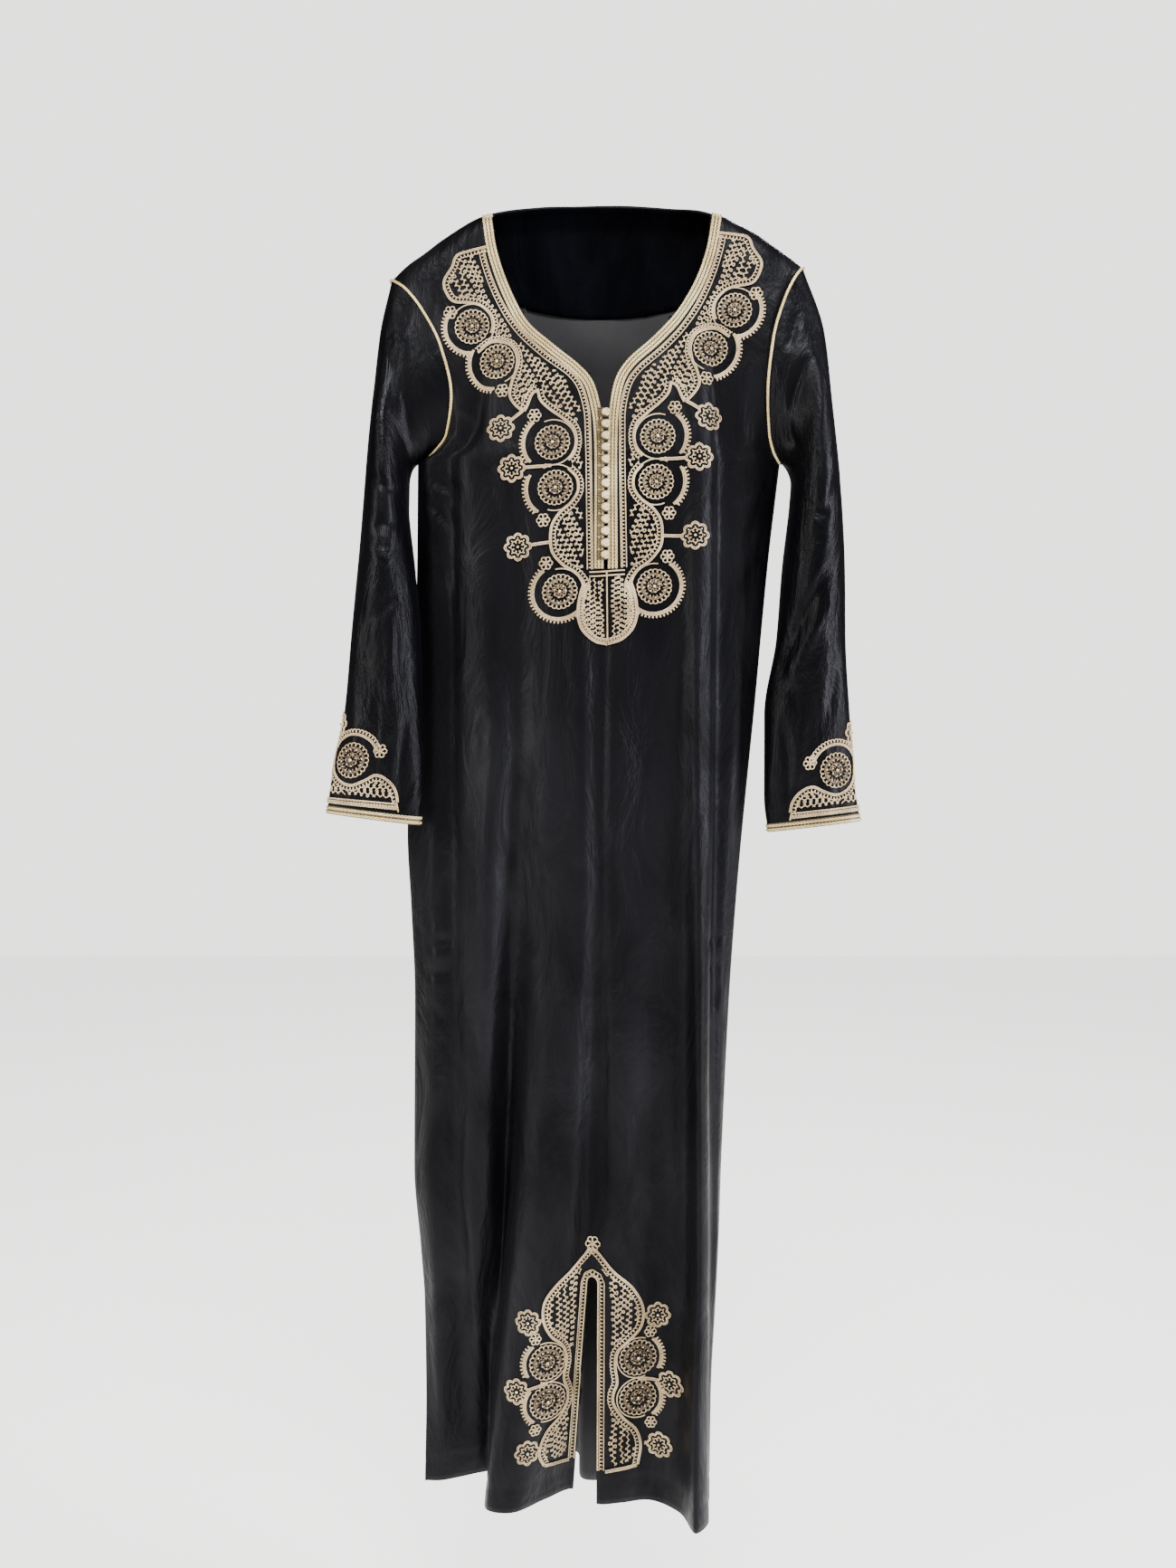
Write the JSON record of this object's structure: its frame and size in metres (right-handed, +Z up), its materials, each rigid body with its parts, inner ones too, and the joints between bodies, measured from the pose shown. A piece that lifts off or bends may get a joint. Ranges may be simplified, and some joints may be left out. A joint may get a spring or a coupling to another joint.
{
  "type": "moroccan kaftan",
  "caption": "Long hanging kaftan with set-in sleeves, scooped neck, buttoned neck slit, hem slit and raised braid embroidery.",
  "frame": {"origin": "middle of the neck on the plane of the shoulder and side seams, where the wearer's shoulders hold the garment", "axes": "+Z up along the garment's length, -Y is the front, +X is to the right of someone who looks at the front"},
  "size_m": [0.582, 0.1692, 1.4207],
  "materials": {
    "velvet": "black velvet, short dense nap with a grey sheen",
    "velvet_facing": "black velvet, nap inwards",
    "gold_braid": "woven and twisted gold thread",
    "gold_knot": "knotted gold cord",
    "soutache": "couched gold cord with small beads"
  },
  "bodies": {
    "root": {"front": "velvet", "back": "velvet", "back_neck_facing": "velvet_facing", "neck_braid_left": "gold_braid", "neck_braid_right": "gold_braid", "chest_embroidery_left": "soutache", "chest_embroidery_right": "soutache", "chest_embroidery_tongue": "soutache", "hem_embroidery_left": "soutache", "hem_embroidery_right": "soutache", "sleeve_left": "velvet", "sleeve_right": "velvet", "cuff_braid_left": "gold_braid", "cuff_braid_right": "gold_braid", "cuff_embroidery_left": "soutache", "cuff_embroidery_right": "soutache", "armhole_cord_left": "gold_braid", "armhole_cord_right": "gold_braid", "knot_01": "gold_knot", "knot_02": "gold_knot", "knot_03": "gold_knot", "knot_04": "gold_knot", "knot_05": "gold_knot", "knot_06": "gold_knot", "knot_07": "gold_knot", "knot_08": "gold_knot", "knot_09": "gold_knot", "knot_10": "gold_knot", "knot_11": "gold_knot", "knot_12": "gold_knot", "knot_13": "gold_knot"}
  },
  "joints": []
}
